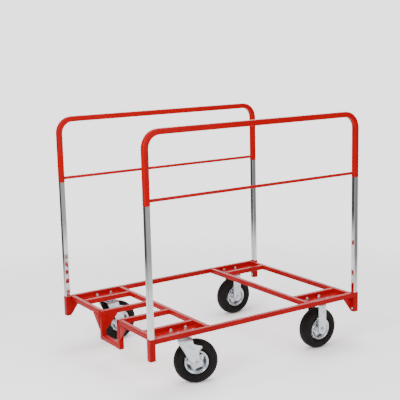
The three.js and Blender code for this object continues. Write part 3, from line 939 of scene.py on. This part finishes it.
# a strap bent to a U: (y, z) runs up one leg, round a bend, across the crown and down the other leg;
# at each place the strap spans left(z) to right(z) in x, its edges turned outwards by lip
def strapFork(origin, forward, bottom, top, leftEdge, rightEdge, crown, lip):
    thickness = caster["legThickness"]
    middle, bend = caster["legMiddle"], caster["bend"]
    crownZ = top - thickness / 2
    heights = np.concatenate([bottom + np.array([0, 0.0006, 0.0016, 0.003, 0.005, 0.008]),
                              np.linspace(bottom + 0.012, crownZ - bend, 26)])
    turn = np.linspace(0, math.pi / 2, 7)[1:]
    legs = np.stack([np.full(len(heights), -middle), heights], axis=-1)
    arc = np.stack([-middle + bend - bend * np.cos(turn), crownZ - bend + bend * np.sin(turn)], axis=-1)
    half = np.concatenate([legs, arc, [[0, crownZ]]])
    normal = np.concatenate([np.tile([-1.0, 0.0], (len(heights), 1)),
                             np.stack([-np.cos(turn), np.sin(turn)], axis=-1), [[0.0, 1.0]]])
    line = np.concatenate([half, half[::-1][1:] * [-1, 1]])
    normal = np.concatenate([normal, normal[::-1][1:] * [-1, 1]])
    left, right = leftEdge(line[:, 1]), rightEdge(line[:, 1])
    flat = np.clip((line[:, 1] - (crownZ - bend)) / bend, 0, 1)
    left = left * (1 - flat) + crown[0] * flat
    right = right * (1 - flat) + crown[1] * flat
    u = np.sin(np.linspace(-math.pi / 2, math.pi / 2, 25))
    face = np.repeat([0.5, -0.5], len(u)) * thickness
    u = np.concatenate([u, u[::-1]])
    rounding = np.sqrt(np.clip(1 - np.abs(u) ** 24, 0, 1))
    width = (right - left) / 2
    flare = np.clip((np.abs(u)[None] * width[:, None] - (width[:, None] - 0.006)) / 0.006, 0, 1) ** 2
    flare = flare * lip * (1 - flat[:, None]) * np.clip((line[:, 1:2] - bottom) / 0.02, 0, 1)
    x = (left + right)[:, None] / 2 + width[:, None] * u[None]
    off = face[None] * rounding[None] + flare
    sideways = np.array([-forward[1], forward[0], 0])
    points = (np.asarray(origin) + x[..., None] * forward
              + (line[:, :1] + normal[:, :1] * off)[..., None] * sideways
              + (line[:, 1:] + normal[:, 1:] * off)[..., None] * np.array([0, 0, 1.0]))
    return shell(points, caps=True)


def plateShell(x, y, top):
    thickness = caster["plateThickness"]
    outline = roundedRectangle(*caster["plate"], caster["plateRadius"])
    return plate(outline, thickness, (x, y, top - thickness / 2), (1, 0, 0), (0, 1, 0))


# the studs, washers and nuts that hold a plate to its bed
def makeBolts(prefix, centreX, centreY, plateTop):
    bedTop = corners(f"{prefix}_caster_bed")[1][2]
    base = plateTop - caster["plateThickness"]
    washer = caster["washerHeight"]
    shells = []
    for sx in (-1, 1):
        for sy in (-1, 1):
            x, y = centreX + sx * caster["boltX"], centreY + sy * caster["boltY"]
            shells += [disc(caster["washerHole"], caster["washer"], washer, (x, y, bedTop), upwards),
                       hexagon(caster["nut"], caster["nutHeight"], (x, y, bedTop + washer), upwards),
                       threadedEnd(caster["stud"], caster["studTop"] - base, (x, y, base), upwards),
                       hexagon(caster["nut"], caster["lowerNut"], (x, y, base), (0, 0, -1))]
    makePiece(f"{prefix}_caster_bolts", shells, "zinc_plate", "root")


# a rigid caster: its fork's legs end in a half circle about the axle
def makeRigid(prefix):
    x, y, axleZ = joints[f"{prefix}_wheel_spin"]["pos_m"]
    fork = f"{prefix}_fork"
    plateTop = corners(fork)[1][2]
    halfWidth = caster["halfWidth"]

    def edge(z):
        below = np.clip(axleZ - z, 0, halfWidth - 1e-6)
        return np.sqrt(np.clip(halfWidth ** 2 - below ** 2, 4e-6, None))

    strap = strapFork((x, y, 0), np.array([1.0, 0, 0]), axleZ - halfWidth,
                      plateTop - caster["plateThickness"], lambda z: -edge(z), edge,
                      (-halfWidth, halfWidth), 0.0)
    makePiece(f"{fork}_strap", [plateShell(x, y, plateTop), strap], "zinc_plate", "root", fork)
    makeBolts(prefix, x, y, plateTop)


# a swivel fork's edges as (height, distance ahead of the axle), with the ear and the notch above it
swivel = {"rear": ((0.091, -0.002), (0.0925, -0.009), (0.097, -0.0155), (0.110, -0.026), (0.130, -0.041),
                   (0.224, -0.093), (0.240, -0.093)),
          "front": ((0.091, 0.002), (0.0925, 0.009), (0.097, 0.0155), (0.112, 0.019), (0.132, 0.0125),
                    (0.160, 0.0095), (0.174, 0.0135), (0.186, 0.0255), (0.198, 0.0260), (0.204, 0.001),
                    (0.210, -0.017), (0.240, -0.021)),
          "pin": 0.0069, "nut": 0.0108, "nutHeight": 0.0066, "end": 0.0066, "endLength": 0.0020}
race = {"upper": [(0.0074, 0.0068), (0.0345, 0.0068), (0.0376, 0.0040), (0.0378, 0.0012),
                  (0.0362, 0.0008), (0.0340, 0.0036), (0.0074, 0.0030)],
        "lower": [(0.0074, -0.0030), (0.0320, -0.0034), (0.0350, -0.0010), (0.0358, -0.0014),
                  (0.0352, -0.0048), (0.0318, -0.0068), (0.0074, -0.0068)],
        "balls": 24, "ball": 0.0026, "ballCircle": 0.0318}


def edgeAt(pairs, shift):
    heights, edges = np.array(pairs).T
    return lambda z: np.interp(z, heights, edges + shift)


def makeSwivel(prefix):
    x, y = joints[f"{prefix}_swivel_turn"]["pos_m"][:2]
    wheelX, wheelY = joints[f"{prefix}_wheel_spin"]["pos_m"][:2]
    forward = unit(np.array([wheelX - x, wheelY - y, 0]))
    trail = math.hypot(wheelX - x, wheelY - y)
    fork = f"{prefix}_fork"
    forkLow, forkHigh = corners(fork)
    strap = strapFork((x, y, 0), forward, forkLow[2], forkHigh[2], edgeAt(swivel["rear"], trail),
                      edgeAt(swivel["front"], trail),
                      (trail + swivel["rear"][-1][1], trail + swivel["front"][-1][1]), caster["lip"])
    makePiece(f"{fork}_pressing", [strap], "zinc_plate", f"{prefix}_swivel", fork)

    head = f"{prefix}_swivel_head"
    headLow, headHigh = corners(head)
    bottom, top = headLow[2], headHigh[2]
    pin = [disc(centreHole, swivel["pin"], top - 0.004 - bottom - 0.001, (x, y, bottom + 0.001), upwards),
           hexagon(swivel["nut"], swivel["nutHeight"], (x, y, bottom + swivel["nutHeight"]), (0, 0, -1)),
           threadedEnd(swivel["end"], swivel["endLength"], (x, y, bottom + 0.0015), (0, 0, -1))]
    makePiece(f"{head}_plate", [plateShell(x, y, top)] + pin, "zinc_plate", "root", head)

    ballRace = f"{prefix}_ball_race"
    raceLow, raceHigh = corners(ballRace)
    raceZ = (raceLow[2] + raceHigh[2]) / 2
    rings = [revolve(soften(race[k]), (x, y, raceZ), upwards, 72) for k in ("upper", "lower")]
    ball = race["ball"] * towards(np.linspace(-math.pi / 2, math.pi / 2, 7))
    ball = np.concatenate([np.maximum(ball, [0.00001, -1]), [[0.000005, 0]]])
    for a in np.arange(race["balls"]) * fullTurn / race["balls"]:
        place = (x + race["ballCircle"] * math.cos(a), y + race["ballCircle"] * math.sin(a), raceZ)
        rings.append(revolve(ball, place, upwards, 10))
    makePiece(f"{ballRace}_rings", rings, "zinc_plate", "root", ballRace)
    makeBolts(prefix, x, y, top)


for side in sides:
    makeRigid(f"{side}_right")
    makeSwivel(f"{side}_left")
print("casters made")

studio = {"floorRadius": 40.0, "floorColour": (0.85, 0.85, 0.85, 1), "floorSeen": (2.35, 2.35, 2.37, 1),
          "floorMirrored": (1.5, 1.5, 1.5, 1), "fadeFrom": 1.3, "fadeTo": 3.0, "seen": 2.45, "room": 0.5}

# a bright window low down, behind the right end, that the tops of the tubes mirror
window = {"towards": (0.55, 0.82, 0.16), "start": 0.91, "full": 0.975, "strength": 2.1}

# darker parts of the room for metal to reflect: the strength falls to least as the cosine to the
# direction goes from start to full
darkParts = {"rearLeft": {"towards": (-0.50, 0.86, 0.0), "start": 0.80, "full": 0.96, "least": 0.08},
             "frontRight": {"towards": (0.74, -0.67, 0.0), "start": 0.955, "full": 0.99, "least": 0.28},
             "right": {"towards": (0.98, 0.20, 0.0), "start": 0.93, "full": 0.985, "least": 0.35}}


# strength of the room towards a direction
def roomStrength(w, direction):
    def lobe(part, far, near):
        return w.ramp(w.dot(direction, part["towards"]), part["start"], part["full"], far, near)

    strength = studio["room"]
    for part in darkParts.values():
        strength = w.math("MINIMUM", strength, lobe(part, studio["room"], part["least"]))
    return w.math("MAXIMUM", strength, lobe(window, 0.0, window["strength"]))


# the room's strength, or the plain backdrop where it is looked at directly
def shownStrength(w, direction):
    seen = w.node("ShaderNodeLightPath").outputs["Is Camera Ray"]
    return w.ramp(seen, 0, 1, roomStrength(w, direction), studio["seen"])


# the floor is a disc that fades by distance from plain diffuse into the room around it, and it is
# lifted towards white where it is looked at directly
def makeFloor():
    ring = np.zeros((96, 3))
    ring[:, :2] = studio["floorRadius"] * towards(np.arange(96) * fullTurn / 96)
    mesh = bpy.data.meshes.new("floor")
    mesh.from_pydata(ring.tolist(), [], [list(range(96))])
    item = addObject("floor", mesh)
    material = bpy.data.materials.new("floorWhite")
    w = Wiring(material)
    ray = w.node("ShaderNodeLightPath").outputs
    diffuse = w.node("ShaderNodeBsdfDiffuse")
    colour = w.mix(ray["Is Glossy Ray"], studio["floorColour"], studio["floorMirrored"])
    w.join(w.mix(ray["Is Camera Ray"], colour, studio["floorSeen"]), diffuse.inputs["Color"])
    place = w.node("ShaderNodeTexCoord").outputs["Object"]
    length = w.node("ShaderNodeVectorMath", operation="LENGTH")
    outwards = w.node("ShaderNodeVectorMath", operation="NORMALIZE")
    w.join(place, length.inputs[0])
    w.join(place, outwards.inputs[0])
    glow = w.node("ShaderNodeEmission")
    w.join(shownStrength(w, outwards.outputs[0]), glow.inputs["Strength"])
    blend = w.node("ShaderNodeMixShader")
    fade = w.ramp(length.outputs["Value"], studio["fadeFrom"], studio["fadeTo"])
    for target, source in zip(blend.inputs, (fade, diffuse.outputs[0], glow.outputs[0])):
        w.join(source, target)
    w.join(blend.outputs[0], w.node("ShaderNodeOutputMaterial").inputs[0])
    mesh.materials.append(material)


def makeWorld():
    world = bpy.data.worlds.new("studio")
    bpy.context.scene.world = world
    w = Wiring(world)
    direction = w.node("ShaderNodeTexCoord").outputs["Generated"]
    background = w.node("ShaderNodeBackground")
    background.inputs["Color"].default_value = (1, 1, 1, 1)
    w.join(shownStrength(w, direction), background.inputs["Strength"])
    w.join(background.outputs[0], w.node("ShaderNodeOutputWorld").inputs[0])


lights = {"keyLeft": {"place": (-3.4, -1.2, 2.4), "size": 1.8, "power": 64},
          "overhead": {"place": (0.5, 0.6, 3.8), "size": 2.6, "power": 46},
          "frontFill": {"place": (0.6, -3.8, 1.7), "size": 2.2, "power": 24}}


def makeLights():
    for name, values in lights.items():
        data = bpy.data.lights.new(name, "AREA")
        data.shape = "DISK"
        data.size = values["size"]
        data.energy = values["power"]
        item = addObject(name, data)
        item.location = values["place"]
        aim = Vector((0, 0, 0.6)) - Vector(values["place"])
        item.rotation_euler = aim.to_track_quat("-Z", "Y").to_euler()


makeFloor()
makeWorld()
makeLights()
print("studio ready")
